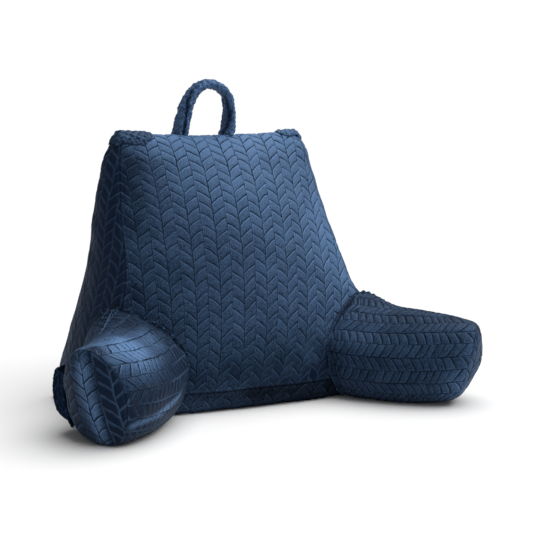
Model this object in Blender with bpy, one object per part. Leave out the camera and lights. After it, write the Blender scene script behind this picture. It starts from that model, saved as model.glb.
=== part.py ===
"""A reading pillow with arms: a wedge-shaped back cushion, two arms, a carrying handle, the two
stuffed wraps over the top corners and one open pocket on the left arm. Metres, +Z up, the sitter
faces -Y.

Every filled piece starts as a plain block of faces, is bent to its shape by a small formula, and
is rounded by one level of subdivision. Pieces that are sewn on are cut to the face they lie on."""

import math

import bmesh
import bpy
from mathutils import Vector
from mathutils.bvhtree import BVHTree

# ---- driving dimensions ----
HEIGHT = 0.492  # back cushion, floor to top edge
SEAM_GAP = 0.0004  # pieces that are sewn together stand this far apart
MERGE_DISTANCE = 0.0001
FLOOR_SINK = 0.05  # share of a piece's height that its own weight presses flat
SHARP_ANGLE = math.radians(40)

# Back cushion, one row for each height from the floor up.
BACK_ROWS = [
    {"at": 0.00, "half": 0.328, "front": -0.044, "rear": 0.207},
    {"at": 0.25, "half": 0.281, "front": -0.028, "rear": 0.214},
    {"at": 0.50, "half": 0.235, "front": 0.018, "rear": 0.214},
    {"at": 0.75, "half": 0.215, "front": 0.091, "rear": 0.197},
    {"at": 1.00, "half": 0.196, "front": 0.137, "rear": 0.172},
]
BACK_CUTS = (11, 11, 4)
BACK_PLAN_ROUND = 0.22
BACK_CORNER_ROUND = 0.30
BACK_ROLL = {"top": 0.20, "base": 0.16}  # share of the half height that rolls over
FRONT_CROWN = 0.045
REAR_CROWN = 0.030
SIDE_CROWN = 0.017
TOP_DIP = 0.007

# Arms, one row for each station from the root to the end; x is outward from the middle.
ARM_ROWS = [
    {"at": 0.00, "x": 0.200, "y": 0.018, "half": 0.096, "height": 0.157},
    {"at": 0.35, "x": 0.246, "y": -0.064, "half": 0.095, "height": 0.158},
    {"at": 0.70, "x": 0.302, "y": -0.145, "half": 0.087, "height": 0.170},
    {"at": 1.00, "x": 0.369, "y": -0.206, "half": 0.060, "height": 0.154},
]
ARM_CUTS = (6, 6, 8)
ARM_ROUND = {"over": 0.90, "under": 0.86, "end": 0.38}
ARM_DOME = 0.004  # how far the end bulges
ARM_LEAN = 0.022  # how far the end leans outward at its top and inward at its foot

# Handle, one row for each point along the loop; x and z from the middle of the top edge.
HANDLE_ROWS = [
    {"at": 0.00, "x": -0.056, "z": -0.045, "thick": 0.024, "wide": 0.052},
    {"at": 0.17, "x": -0.045, "z": 0.008, "thick": 0.022, "wide": 0.050},
    {"at": 0.31, "x": -0.033, "z": 0.048, "thick": 0.019, "wide": 0.046},
    {"at": 0.40, "x": -0.017, "z": 0.072, "thick": 0.018, "wide": 0.040},
    {"at": 0.49, "x": 0.006, "z": 0.084, "thick": 0.017, "wide": 0.036},
    {"at": 0.57, "x": 0.030, "z": 0.079, "thick": 0.016, "wide": 0.034},
    {"at": 0.65, "x": 0.048, "z": 0.062, "thick": 0.015, "wide": 0.034},
    {"at": 0.77, "x": 0.053, "z": 0.026, "thick": 0.016, "wide": 0.038},
    {"at": 1.00, "x": 0.042, "z": -0.045, "thick": 0.020, "wide": 0.048},
]
HANDLE_CUTS = (1, 2, 27)
HANDLE_ROUND = 0.90
HANDLE_MIDDLE = Vector((-0.010, 0.153, HEIGHT))

# Wraps over the top corners: what an egg-shaped lump leaves of a layer over the cushion. The left
# one is the larger.
WRAPS = [
    {"name": "left", "x": -0.155, "y": 0.150, "z": 0.482, "wide": 0.041, "deep": 0.060, "tall": 0.024},
    {"name": "right", "x": 0.167, "y": 0.150, "z": 0.486, "wide": 0.029, "deep": 0.060, "tall": 0.021},
]
WRAP_SEGMENTS = (24, 16)
WRAP_THICK = 0.0050

# Pocket on the outer side of the left arm: a sheet that stands off the arm at its open top.
POCKET_SPAN = (0.50, 0.92)  # from and to, as stations along the arm
POCKET_HEIGHTS = (0.026, 0.110)
POCKET_GAP = 0.0018
POCKET_THICK = 0.004
POCKET_STAND = 0.017
POCKET_SAG = 0.006  # how much further it stands off at its foot
POCKET_FULLNESS = 14  # how soon above its foot the sheet reaches its full stand
POCKET_CUTS = (9, 7, 1)
POCKET_REACH = 0.30  # how far outside the arm the pocket's sight lines start

COVER_BLUE = (0.035, 0.085, 0.180, 1.0)
PILE_ROUGHNESS = 0.85


def row_value(rows, at, key):
    """A smooth curve through one named column of a table."""
    at = max(rows[0]["at"], min(rows[-1]["at"], at))
    i = 0
    while i < len(rows) - 2 and at > rows[i + 1]["at"]:
        i += 1
    near = [rows[max(0, min(len(rows) - 1, i + k))] for k in (-1, 0, 1, 2)]
    span = near[2]["at"] - near[1]["at"]
    t = (at - near[1]["at"]) / span

    def slope(low, high):
        return (high[key] - low[key]) / (high["at"] - low["at"]) * span

    low, high = near[1][key], near[2][key]
    return (
        (2 * t**3 - 3 * t**2 + 1) * low
        + (t**3 - 2 * t**2 + t) * slope(near[0], near[2])
        + (3 * t**2 - 2 * t**3) * high
        + (t**3 - t**2) * slope(near[1], near[3])
    )


def row_direction(rows, at, keys, step=0.01):
    """Which way the curve through two columns runs."""
    low, high = max(0.0, at - step), min(1.0, at + step)
    return Vector([row_value(rows, high, key) - row_value(rows, low, key) for key in keys]).normalized()


def round_pair(p, q, k):
    """Turns the square from -1 to 1 towards a disc: k 0 keeps it, k 1 makes it round."""
    return p * math.sqrt(1 - k * q * q / 2), q * math.sqrt(1 - k * p * p / 2)


def block(cuts):
    """A closed block from -1 to 1, cut along its three axes."""
    bm = bmesh.new()
    bmesh.ops.create_cube(bm, size=2)
    for axis, count in enumerate(cuts):
        along = [e for e in bm.edges if abs(e.verts[0].co[axis] - e.verts[1].co[axis]) > SEAM_GAP]
        bmesh.ops.subdivide_edges(bm, edges=along, cuts=count, use_grid_fill=True)
    return bm


def bent_piece(name, bm, place):
    """Bends a block of faces by place(a, b, c) and makes it an object."""
    for v in bm.verts:
        v.co = place(*v.co)
    if bm.calc_volume(signed=True) < 0:
        bmesh.ops.reverse_faces(bm, faces=bm.faces)
    mesh = bpy.data.meshes.new(name)
    bm.to_mesh(mesh)
    bm.free()
    obj = bpy.data.objects.new(name, mesh)
    bpy.context.collection.objects.link(obj)
    return obj


def rounded_piece(name, cuts, place):
    """A bent block, rounded, pressed flat where it meets the floor, and cut into plane triangles."""
    obj = bent_piece(name, block(cuts), place)
    rounding = obj.modifiers.new("Rounding", "SUBSURF")
    rounding.levels = rounding.render_levels = 1
    settle(obj)
    bm = bmesh.new()
    bm.from_mesh(obj.data)
    for v in bm.verts:
        v.co.z = max(0.0, v.co.z)
    bmesh.ops.triangulate(bm, faces=bm.faces)
    bm.to_mesh(obj.data)
    bm.free()
    return obj


def settle(obj):
    """Applies an object's modifiers to its mesh."""
    evaluated = obj.evaluated_get(bpy.context.evaluated_depsgraph_get())
    mesh = bpy.data.meshes.new_from_object(evaluated)
    obj.modifiers.clear()
    obj.data = mesh


def grown_guide(obj, gap):
    """A guide shape: the piece grown by the gap on every side."""
    guide = bpy.data.objects.new(obj.name + "_guide", obj.data.copy())
    bpy.context.collection.objects.link(guide)
    grown = [v.co + v.normal * gap for v in guide.data.vertices]
    for v, co in zip(guide.data.vertices, grown):
        v.co = co
    guide.hide_render = True
    guide.display_type = "WIRE"
    return guide


def trim(obj, guide, operation="DIFFERENCE"):
    """Cuts a piece off at the face of the piece it is sewn to, or keeps what lies inside a guide."""
    cut = obj.modifiers.new("Trim", "BOOLEAN")
    cut.operation = operation
    cut.solver = "EXACT"
    cut.object = guide
    settle(obj)
    bm = bmesh.new()
    bm.from_mesh(obj.data)
    bmesh.ops.remove_doubles(bm, verts=bm.verts, dist=MERGE_DISTANCE)
    bmesh.ops.triangulate(bm, faces=bm.faces)
    bm.to_mesh(obj.data)
    bm.free()


def dress(obj, roughness):
    """Gives a piece its own plain material and smooth faces with sharp edges."""
    made = bpy.data.materials.new(obj.name)
    made.use_nodes = True
    shader = made.node_tree.nodes["Principled BSDF"]
    shader.inputs["Base Color"].default_value = COVER_BLUE
    shader.inputs["Roughness"].default_value = roughness
    shader.inputs["Metallic"].default_value = 0.0
    obj.data.materials.clear()
    obj.data.materials.append(made)
    obj.data.shade_smooth()
    obj.data.set_sharp_from_angle(angle=SHARP_ANGLE)


def sunk_height(height, share):
    """Height of a point; the lowest share of the piece goes below the floor and is pressed flat."""
    return height * ((1 + FLOOR_SINK) * share - FLOOR_SINK)


# ---- back cushion ----
def back_place(a, b, c):
    """a runs across, b up and c from front to rear."""
    a, c = round_pair(a, c, BACK_PLAN_ROUND)
    flat = 1 - BACK_ROLL["top" if b > 0 else "base"]
    roll = max(0.0, abs(b) - flat) / (1 - flat)
    roll, c = round_pair(roll, c, 1.0)
    roll, a = round_pair(roll, a, BACK_CORNER_ROUND)
    b = math.copysign(min(abs(b), flat) + roll * (1 - flat), b)
    t = (b + 1) / 2
    half = row_value(BACK_ROWS, t, "half") + SIDE_CROWN * (1 - c * c) * max(0.0, 1 - b * b)
    # The rolls keep the depth that they start from.
    body = max(BACK_ROLL["base"] - 1, min(1 - BACK_ROLL["top"], b))
    front, rear = (row_value(BACK_ROWS, (body + 1) / 2, key) for key in ("front", "rear"))
    middle = max(0.0, 1 - a * a)
    crown = middle * (1 - body**4)
    front -= FRONT_CROWN * crown
    rear += REAR_CROWN * crown
    y = front + (rear - front) * (c + 1) / 2
    return Vector((a * half, y, sunk_height(HEIGHT, t) - TOP_DIP * middle * t**6))


# ---- arms ----
def arm_frame(side, s):
    """The arm's middle line on the floor at station s, the way it runs, and the way out from it."""
    centre = Vector((row_value(ARM_ROWS, s, "x") * side, row_value(ARM_ROWS, s, "y"), 0))
    run = row_direction(ARM_ROWS, s, ("x", "y"))
    along = Vector((run.x * side, run.y, 0))
    outward = Vector((-run.y * side, run.x, 0))
    return centre, along, outward


def arm_place(side):
    def place(a, b, c):
        """a runs outward across the arm, b up, c from the root to the end."""
        a, b = round_pair(a, b, ARM_ROUND["over"] if b > 0 else ARM_ROUND["under"])
        if c > 0:
            a, c = round_pair(a, c, ARM_ROUND["end"])
            b, c = round_pair(b, c, ARM_ROUND["end"])
        s = (c + 1) / 2
        centre, along, outward = arm_frame(side, s)
        end = max(0.0, c)
        bulge = ARM_DOME * end**3 * max(0.0, 1 - a * a) * max(0.0, 1 - b * b) + ARM_LEAN * b * end**2
        point = centre + outward * (a * row_value(ARM_ROWS, s, "half")) + along * bulge
        point.z = sunk_height(row_value(ARM_ROWS, s, "height"), (b + 1) / 2)
        return point

    return place


# ---- handle ----
def handle_place(a, b, c):
    """a runs across the loop's thickness, b front to rear, c from one end to the other."""
    a, b = round_pair(a, b, HANDLE_ROUND)
    s = (c + 1) / 2
    x, z, thick, wide = (row_value(HANDLE_ROWS, s, key) for key in ("x", "z", "thick", "wide"))
    run = row_direction(HANDLE_ROWS, s, ("x", "z"))
    across = Vector((-run.y, 0, run.x))
    return HANDLE_MIDDLE + Vector((x, b * wide / 2, z)) + across * (a * thick / 2)


# ---- corner wraps ----
def corner_wrap(row):
    bm = bmesh.new()
    bmesh.ops.create_uvsphere(bm, u_segments=WRAP_SEGMENTS[0], v_segments=WRAP_SEGMENTS[1], radius=1)

    def place(x, y, z):
        return Vector((row["x"] + row["wide"] * x, row["y"] + row["deep"] * y, row["z"] + row["tall"] * z))

    return bent_piece("corner_wrap_" + row["name"], bm, place)


# ---- pocket ----
def pocket_place(arm, side):
    """Lays the pocket on the arm's outer face and stands it off towards its open top."""
    arm_face = BVHTree.FromPolygons(
        [v.co for v in arm.data.vertices], [tuple(p.vertices) for p in arm.data.polygons]
    )

    def place(a, b, c):
        """a runs along the arm, b up, c through the sheet from its inner face out."""
        s = POCKET_SPAN[0] + (POCKET_SPAN[1] - POCKET_SPAN[0]) * (a + 1) / 2
        centre, _, outward = arm_frame(side, s)
        centre.z = POCKET_HEIGHTS[0] + (POCKET_HEIGHTS[1] - POCKET_HEIGHTS[0]) * (b + 1) / 2
        laid = arm_face.ray_cast(centre + outward * POCKET_REACH, -outward)[0]
        down = (1 - b) / 2
        stand = (POCKET_STAND + POCKET_SAG * down) * (1 - a * a) * (1 - down**POCKET_FULLNESS)
        return laid + outward * (POCKET_GAP + stand + POCKET_THICK * (c + 1) / 2)

    return place


def main():
    for old in list(bpy.data.objects):
        bpy.data.objects.remove(old)
    sides = (("left", -1), ("right", 1))

    back = rounded_piece("back_cushion", BACK_CUTS, back_place)
    arms = [rounded_piece("arm_" + name, ARM_CUTS, arm_place(side)) for name, side in sides]
    wraps = [corner_wrap(row) for row in WRAPS]
    handle = rounded_piece("handle", HANDLE_CUTS, handle_place)
    pocket = bent_piece("pocket", block(POCKET_CUTS), pocket_place(arms[0], -1))

    layer = grown_guide(back, SEAM_GAP + WRAP_THICK)
    for wrap in wraps:
        trim(wrap, layer, "INTERSECT")
    guide = grown_guide(back, SEAM_GAP)
    for obj in [*arms, *wraps, handle]:
        trim(obj, guide)
    for obj in [back, *arms, *wraps, handle, pocket]:
        dress(obj, PILE_ROUGHNESS)


main()
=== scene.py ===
# %% [markdown]
# # A reading pillow with arms, in blue braided plush
# The pillow is a stuffed wedge with two stuffed arms, a carrying loop, two lapped top corners and a
# pocket. Its cover is a short-pile plush with a braid of leaves pressed into it. This file loads
# the plain solids as a fixed frame and then builds the soft, finished pillow over them.

import math

import bmesh
import bpy
import numpy as np
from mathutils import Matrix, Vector
from mathutils.bvhtree import BVHTree


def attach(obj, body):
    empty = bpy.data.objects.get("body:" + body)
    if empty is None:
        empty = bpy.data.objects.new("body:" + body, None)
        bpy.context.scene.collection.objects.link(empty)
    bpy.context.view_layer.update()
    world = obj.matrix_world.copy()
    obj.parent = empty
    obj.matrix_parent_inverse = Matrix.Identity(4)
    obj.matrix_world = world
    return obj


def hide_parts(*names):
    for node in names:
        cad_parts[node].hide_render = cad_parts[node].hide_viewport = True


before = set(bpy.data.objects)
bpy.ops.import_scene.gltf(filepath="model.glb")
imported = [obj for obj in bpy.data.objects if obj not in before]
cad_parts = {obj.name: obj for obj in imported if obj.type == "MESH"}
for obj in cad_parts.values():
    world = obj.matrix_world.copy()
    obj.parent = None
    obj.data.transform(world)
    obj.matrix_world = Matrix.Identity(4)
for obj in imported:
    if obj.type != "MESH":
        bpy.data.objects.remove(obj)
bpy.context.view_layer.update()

# %% [markdown]
# ## Where the camera stands
# The product is shown from its own left, a little above, through a long lens. A camera object needs
# a place and a turn: `to_track_quat` turns it so that it looks at one point of the pillow.

# %% The camera
PICTURE_PX = 533
SIGHT_PX = 1306.5  # focal length, in pixels of the picture
SENSOR_MM = 36.0
CAMERA_AIM = Vector((0.042, -0.005, 0.2454))
CAMERA_TURN = math.radians(-27.156)
CAMERA_RISE = math.radians(6.864)
CAMERA_DISTANCE = 2.373


def placed(name, data):
    """A new object, linked into the scene."""
    made = bpy.data.objects.new(name, data)
    bpy.context.collection.objects.link(made)
    return made


lens = bpy.data.cameras.new("camera")
lens.sensor_width = SENSOR_MM
lens.lens = SIGHT_PX / PICTURE_PX * SENSOR_MM
camera = placed("camera", lens)
to_camera = Vector(
    (
        math.sin(CAMERA_TURN) * math.cos(CAMERA_RISE),
        -math.cos(CAMERA_TURN) * math.cos(CAMERA_RISE),
        math.sin(CAMERA_RISE),
    )
)
camera.location = CAMERA_AIM + to_camera * CAMERA_DISTANCE
camera.rotation_euler = (-to_camera).to_track_quat("-Z", "Y").to_euler()
bpy.context.scene.camera = camera
print("camera at", tuple(round(x, 3) for x in camera.location), "lens", round(lens.lens, 1), "mm")

# %% [markdown]
# ## Studio light
# Plush shows its form by the light that skims its pile. One wide, soft sun stands high on the right
# and in front, a dim surround fills the shadows, and the camera itself sees a white backdrop. The
# plain Standard view keeps that backdrop white.

# %% The light and the floor
SUNS = [
    {"name": "key", "from": (0.36, -0.10, 0.93), "spread": 80.0, "strength": 3.7},
    {"name": "fill", "from": (-0.10, -1.0, 0.35), "spread": 90.0, "strength": 0.62},
]
SURROUND = 0.16
BACKDROP = 1.0
FLOOR_SIZE = 9.0
FLOOR_WHITE = 0.80
FLOOR_ROUGH = 0.9
FLOOR_GLOSS = 0.1


def set_inputs(node, values):
    """Sets constant inputs of a shader node, by their labels."""
    for label, value in values.items():
        node.inputs[label].default_value = value


bpy.context.scene.view_settings.view_transform = "Standard"
for row in SUNS:
    lamp = bpy.data.lights.new(row["name"], "SUN")
    lamp.angle = math.radians(row["spread"])
    lamp.energy = row["strength"]
    stand = placed(row["name"], lamp)
    stand.rotation_euler = Vector(row["from"]).to_track_quat("Z", "Y").to_euler()

world = bpy.data.worlds.new("surround")
bpy.context.scene.world = world
world.use_nodes = True
sky = world.node_tree.nodes["Background"]
sky.inputs["Color"].default_value = (1.0, 1.0, 1.0, 1.0)
sight = world.node_tree.nodes.new("ShaderNodeLightPath")
level = world.node_tree.nodes.new("ShaderNodeMapRange")
set_inputs(level, {"To Min": SURROUND, "To Max": BACKDROP})
world.node_tree.links.new(sight.outputs["Is Camera Ray"], level.inputs["Value"])
world.node_tree.links.new(level.outputs["Result"], sky.inputs["Strength"])

bm = bmesh.new()
bmesh.ops.create_grid(bm, x_segments=1, y_segments=1, size=FLOOR_SIZE)
floor_mesh = bpy.data.meshes.new("floor")
bm.to_mesh(floor_mesh)
bm.free()
floor = placed("floor", floor_mesh)
floor_white = bpy.data.materials.new("studio_floor")
floor_white.use_nodes = True
floor_shader = floor_white.node_tree.nodes["Principled BSDF"]
set_inputs(floor_shader, {"Base Color": (FLOOR_WHITE, FLOOR_WHITE, FLOOR_WHITE, 1)})
set_inputs(floor_shader, {"Roughness": FLOOR_ROUGH, "Specular IOR Level": FLOOR_GLOSS})
floor.data.materials.append(floor_white)
print("suns", [row["name"] for row in SUNS])

# %% [markdown]
# ## Tables of sizes
# Each stuffed piece is a block of faces bent to a table: one row for each height or station, and a
# smooth curve through every column, in metres. The rows follow the solids and are finer where the
# photo shows more: the back's crown changes with its height, and the arms' roots rise outwards.

# %% Size tables
def table(columns, *rows):
    """One dictionary for each row of values, under the names of the columns."""
    return [dict(zip(columns.split(), row)) for row in rows]


HEIGHT = 0.492
FLOOR_SINK = 0.05
BACK_ROWS = table(
    "at half front crown rear",
    (0.00, 0.328, -0.044, 0.020, 0.207),
    (0.25, 0.281, -0.028, 0.044, 0.214),
    (0.50, 0.235, 0.018, 0.056, 0.214),
    (0.75, 0.215, 0.091, 0.070, 0.197),
    (1.00, 0.196, 0.137, 0.024, 0.172),
)
BACK_PLAN_ROUND = 0.22
BACK_CORNER_ROUND = 0.30
ROLL_TOP = 0.20
ROLL_BASE = 0.16
REAR_CROWN = 0.030
SIDE_CROWN = 0.017
TOP_DIP = 0.0105
ARM_ROWS = table(
    "at x y half height peak",
    (0.00, 0.200, 0.018, 0.098, 0.196, 0.66),
    (0.20, 0.225, -0.029, 0.096, 0.187, 0.66),
    (0.38, 0.250, -0.071, 0.093, 0.170, 0.45),
    (0.60, 0.286, -0.123, 0.088, 0.165, 0.18),
    (0.80, 0.322, -0.168, 0.079, 0.168, 0.00),
    (1.00, 0.369, -0.206, 0.060, 0.166, 0.00),
)
ARM_ROUND = {"over": 1.00, "under": 0.86, "end": 0.38}
RIM_ROUND = {-1: {"top": 0.14, "foot": 0.38}, 1: {"top": 0.46, "foot": 0.62}}
ARM_SETTLE = {-1: 0.000, 1: 0.013}  # how far the end of each side's arm has settled
ARM_DOME = 0.004
ARM_LEAN = 0.022
ARM_STEP = 0.01  # share of a table's length over which a piece's heading is measured


def curve(rows, at, key):
    """The smooth curve through one named column of a table, for many places at once."""
    knots = np.array([row["at"] for row in rows])
    values = np.array([row[key] for row in rows])
    slopes = np.gradient(values, knots)
    slopes[1:-1] = (values[2:] - values[:-2]) / (knots[2:] - knots[:-2])
    at = np.clip(at, knots[0], knots[-1])
    low = np.clip(np.searchsorted(knots, at, side="right") - 1, 0, len(rows) - 2)
    span = knots[low + 1] - knots[low]
    t = (at - knots[low]) / span
    rise = (3 - 2 * t) * t**2
    return (
        (1 - rise) * values[low]
        + rise * values[low + 1]
        + (t**3 - 2 * t**2 + t) * span * slopes[low]
        + (t**3 - t**2) * span * slopes[low + 1]
    )


def heading(rows, at, keys, step):
    """The direction in which a table's middle line runs, as flat unit vectors."""
    low, high = np.clip(at - step, 0, 1), np.clip(at + step, 0, 1)
    run = np.stack([curve(rows, high, key) - curve(rows, low, key) for key in keys], axis=1)
    return run / np.linalg.norm(run, axis=1, keepdims=True)


def round_pair(p, q, k):
    """Turns a square from -1 to 1 towards a disc."""
    return p * np.sqrt(1 - k * q * q / 2), q * np.sqrt(1 - k * p * p / 2)


half_way = curve(BACK_ROWS, np.array([0.5]), "half")[0]
print("back half width at mid height", round(float(half_way), 3))

# %% [markdown]
# ## Bending a block
# `create_cube` and `subdivide_edges` give a closed block with a fine, even lattice on all six
# faces. Its corners are then moved by a formula. Because each corner knows its place in the
# lattice, lengths along the cloth can be measured from row to row, and the braid can follow them.

# %% A block with a lattice
BLOCK_SIDES = {  # name: (axis that is fixed, which end, first axis along, second axis along)
    "a_low": (0, 0, 2, 1),
    "a_high": (0, -1, 2, 1),
    "b_low": (1, 0, 0, 2),
    "b_high": (1, -1, 0, 2),
    "c_low": (2, 0, 0, 1),
    "c_high": (2, -1, 0, 1),
}
SHORTEST = 1e-6  # an edge that is longer than this along an axis runs along it
FAR = 1.0  # metres: out of reach of every line and dip


class Block:
    """A closed block from -1 to 1 with its lattice, its points in space and its cloth lengths."""

    def __init__(self, name, cuts):
        bm = bmesh.new()
        bmesh.ops.create_cube(bm, size=2)
        for axis, count in enumerate(cuts):
            ends = [(e, e.verts[0].co[axis], e.verts[1].co[axis]) for e in bm.edges]
            along = [e for e, start, end in ends if abs(start - end) > SHORTEST]
            bmesh.ops.subdivide_edges(bm, edges=along, cuts=count, use_grid_fill=True)
        self.name = name
        self.mesh = bpy.data.meshes.new(name)
        bm.to_mesh(self.mesh)
        bm.free()
        self.unit = np.empty(len(self.mesh.vertices) * 3)
        self.mesh.vertices.foreach_get("co", self.unit)
        self.unit = self.unit.reshape(-1, 3)
        self.size = np.array(cuts) + 1
        self.lattice = np.rint((self.unit + 1) / 2 * self.size).astype(int)
        self.index = np.full(self.size + 1, -1)
        self.index[tuple(self.lattice.T)] = np.arange(len(self.unit))
        self.points = self.unit.copy()
        self.cloth = {}
        self.gap = np.full(len(self.unit), FAR)  # how far each corner lies from the nearest seam
        self.crest = np.full(len(self.unit), FAR)  # and from the painted highlight line along the seam over the left arm
        # painted light above 0 and painted shade below 0, at each corner
        self.shade = np.zeros(len(self.unit))
        self.calm = None  # the normals of the smooth form, before the braid is pressed in

    def side(self, name):
        """The numbers of the corners on one side, as a sheet of rows."""
        fixed, end, first, second = BLOCK_SIDES[name]
        sheet = self.index.take(end, axis=fixed)
        return sheet if first < second else sheet.T

    def sheet(self, name):
        """The places of the corners on one side."""
        return self.points[self.side(name)]

    def write(self):
        self.mesh.vertices.foreach_set("co", self.points.ravel())
        self.mesh.update()

    def rest_on_floor(self):
        self.points[:, 2] = np.maximum(self.points[:, 2], 0.0)
        self.write()

    def normals(self):
        self.write()
        flat = np.empty(len(self.points) * 3)
        self.mesh.vertices.foreach_get("normal", flat)
        return flat.reshape(-1, 3)

    def face_out(self):
        """Turns the faces outwards if the bending has turned the block inside out."""
        self.write()
        bm = bmesh.new()
        bm.from_mesh(self.mesh)
        inside_out = bm.calc_volume(signed=True) < 0
        bm.free()
        if inside_out:
            self.mesh.flip_normals()
            self.mesh.update()


def lengths(places, axis):
    """Running length along one axis of a sheet of points."""
    steps = np.linalg.norm(np.diff(places, axis=axis), axis=-1)
    start = np.zeros_like(steps.take([0], axis=axis))
    return np.concatenate([start, np.cumsum(steps, axis=axis)], axis=axis)


# %% [markdown]
# ## The braid
# The cover is pressed into columns of leaves that meet in downward points, like a plait. Seen as
# numbers, a place on the cloth has a distance across the columns and a distance down them. A
# triangle wave gives how far it lies between a ridge and a valley, and the leaves repeat down the
# column. The same sum is done twice: here to raise the real surface, and later in a shader group
# for the crisp edges.

# %% The leaf relief
LEAF_WIDE = 0.0241
LEAF_PITCH = 0.0224
LEAF_RISE = 0.0175
LEAF_DEPTH = 0.0016
LEAF_SOFT = 0.0038
LEAF_SLANT = 0.8  # leaves lie aslant, so they are narrower than their pitch down the column
SLIDE_STRAIGHT, SLIDE_BENT = 0.6, 0.4  # a leaf's edge slides down from the ridge in a slight bow
RIDGE_SHARE = 0.45
WAVE_SPREAD = (0.7, 1.4)
WAVE_STARTS = 6.3


def soft_step(x):
    x = np.clip(x, 0, 1)
    return x * x * (3 - 2 * x)


def leaf_relief(across, down):
    """Height from 0 in the grooves to 1 on the leaves."""
    columns = across / LEAF_WIDE
    column = np.floor(columns)
    valley = np.abs(np.mod(columns + 1, 2) - 1)
    slide = LEAF_RISE * (SLIDE_STRAIGHT * valley + SLIDE_BENT * valley**2)
    leaves = (down - slide) / LEAF_PITCH + 0.5 * np.mod(column, 2)
    part = leaves - np.floor(leaves)
    cross = np.minimum(part, 1 - part) * LEAF_PITCH * LEAF_SLANT
    to_valley = (1 - valley) * LEAF_WIDE
    to_ridge = valley * LEAF_WIDE
    ridge = 1 - RIDGE_SHARE * (1 - soft_step(to_ridge / LEAF_SOFT))
    return soft_step(cross / LEAF_SOFT) * soft_step(to_valley / LEAF_SOFT) * ridge


def waves(points, wavelength, seed, count=7):
    """A smooth uneven field around 0, for dents and for the pile."""
    rng = np.random.default_rng(seed)
    total = np.zeros(len(points))
    for _ in range(count):
        way = rng.normal(size=3)
        way /= np.linalg.norm(way)
        length = wavelength * rng.uniform(*WAVE_SPREAD)
        total += np.sin(points @ way * (2 * np.pi / length) + rng.uniform(0, WAVE_STARTS))
    return total / math.sqrt(count)


# %% [markdown]
# ## The back cushion
# One stuffed wedge. The front panel runs up, turns over the rounded top edge and ends in a seam at
# the rear. The side gussets are strips between seams at the block's edges, in a dimmer plush that
# stands for painted shade.

# %% Back cushion shape
BACK_CUTS = (166, 150, 66)
FOOT_LIFT = 0.009  # the stuffing draws the front's lowest edge up between the arms
FOOT_LIFT_REACH = 0.14


def back_place(unit):
    a, b, c = unit.T.copy()
    a, c = round_pair(a, c, BACK_PLAN_ROUND)
    share = np.where(b > 0, ROLL_TOP, ROLL_BASE)
    roll = np.maximum(0.0, np.abs(b) - (1 - share)) / share
    roll, c = round_pair(roll, c, 1.0)
    roll, a = round_pair(roll, a, BACK_CORNER_ROUND)
    b = np.sign(b) * (np.minimum(np.abs(b), 1 - share) + roll * share)
    t = (b + 1) / 2
    half = curve(BACK_ROWS, t, "half") + SIDE_CROWN * (1 - c * c) * np.maximum(0, 1 - b * b)
    body = np.maximum(b, ROLL_BASE - 1)
    body = body - np.maximum(0.0, body - 1 + ROLL_TOP) ** 2 / (4 * ROLL_TOP)
    at = (body + 1) / 2
    front, crown, rear = (curve(BACK_ROWS, at, key) for key in ("front", "crown", "rear"))
    middle = np.maximum(0, 1 - a * a)
    front = front - crown * middle
    rear = rear + REAR_CROWN * middle * (1 - body**4)
    z = HEIGHT * ((1 + FLOOR_SINK) * t - FLOOR_SINK) - TOP_DIP * middle * t**6
    lift = FOOT_LIFT * np.exp(-(((b + 1) / FOOT_LIFT_REACH) ** 2))
    z = z + lift * middle**0.5 * np.clip(-c, 0, 1) ** 4
    return np.stack([a * half, front + (rear - front) * (c + 1) / 2, z], axis=1)


back = Block("plush_back", BACK_CUTS)
back.points = back_place(back.unit)
back.face_out()
print("back cushion corners", len(back.points), "height", round(back.points[:, 2].max(), 3))

# %% [markdown]
# ## Laying the braid on the back
# Every side of the block gets two lengths for each corner: across the columns and down them. The
# relief then sinks the grooves below the smooth surface, and every seam is drawn in by its
# stitches.

# %% Cloth lengths and relief of the back
SEAM_DEPTH = 0.0022
SEAM_WIDTH = 0.0050
DENT_DEPTH = 0.0009
DENT_WIDTH = 0.055
BRAID_FADE = 0.010  # the braid flattens out this close to a seam
FOOT_SEAM = -0.755
SIDE_FOOT = -0.93
FRONT_PHASE = 0.1441
FRONT_LEAN = 0.0302
FRONT_BEND = 0.0584
FRONT_GATHER = 0.0167
GUSSET_PHASE = 0.012


def middle_lengths(places, axis):
    """Running length from the middle of a sheet outwards, signed."""
    run = lengths(places, axis)
    return run - run.take([run.shape[axis] // 2], axis=axis)


def down_middle(sheet):
    """Length down from the top of a sheet, measured along its middle, for every corner."""
    middle = sheet.shape[0] // 2
    down = lengths(sheet[middle : middle + 1, ::-1], 1)[:, ::-1]
    return np.broadcast_to(down, sheet.shape[:2])


def seam_dip(distance):
    return np.exp(-((distance / SEAM_WIDTH) ** 2))


def sink(block, heights):
    """Moves the corners along their normals by the mean of what their sides ask for."""
    total = np.zeros(len(block.points))
    count = np.zeros(len(block.points))
    for name, height in heights.items():
        corners = block.side(name).ravel()
        np.add.at(total, corners, height.ravel())
        np.add.at(count, corners, 1)
    block.calm = block.normals()
    dents = DENT_DEPTH * waves(block.points, DENT_WIDTH, seed=21)
    block.points = block.points + block.calm * dents[:, None]
    block.points = block.points + block.calm * (total / count)[:, None]


def pressed_in(block, name, relief, gap):
    """Notes how far one side's corners lie from a seam, and gives how deep its cloth is pressed."""
    np.minimum.at(block.gap, block.side(name).ravel(), gap.ravel())
    relief = 1 - (1 - relief) * soft_step(gap / BRAID_FADE)
    return -LEAF_DEPTH * (1 - relief) - SEAM_DEPTH * seam_dip(gap)


def front_columns(arc, down):
    """The columns lean and gather a little towards the foot of the front panel."""
    lean = FRONT_PHASE + FRONT_LEAN * down + FRONT_BEND * down**2
    return LEAF_WIDE * ((arc + lean) / (LEAF_WIDE - FRONT_GATHER * down**2) + 1)


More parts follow.
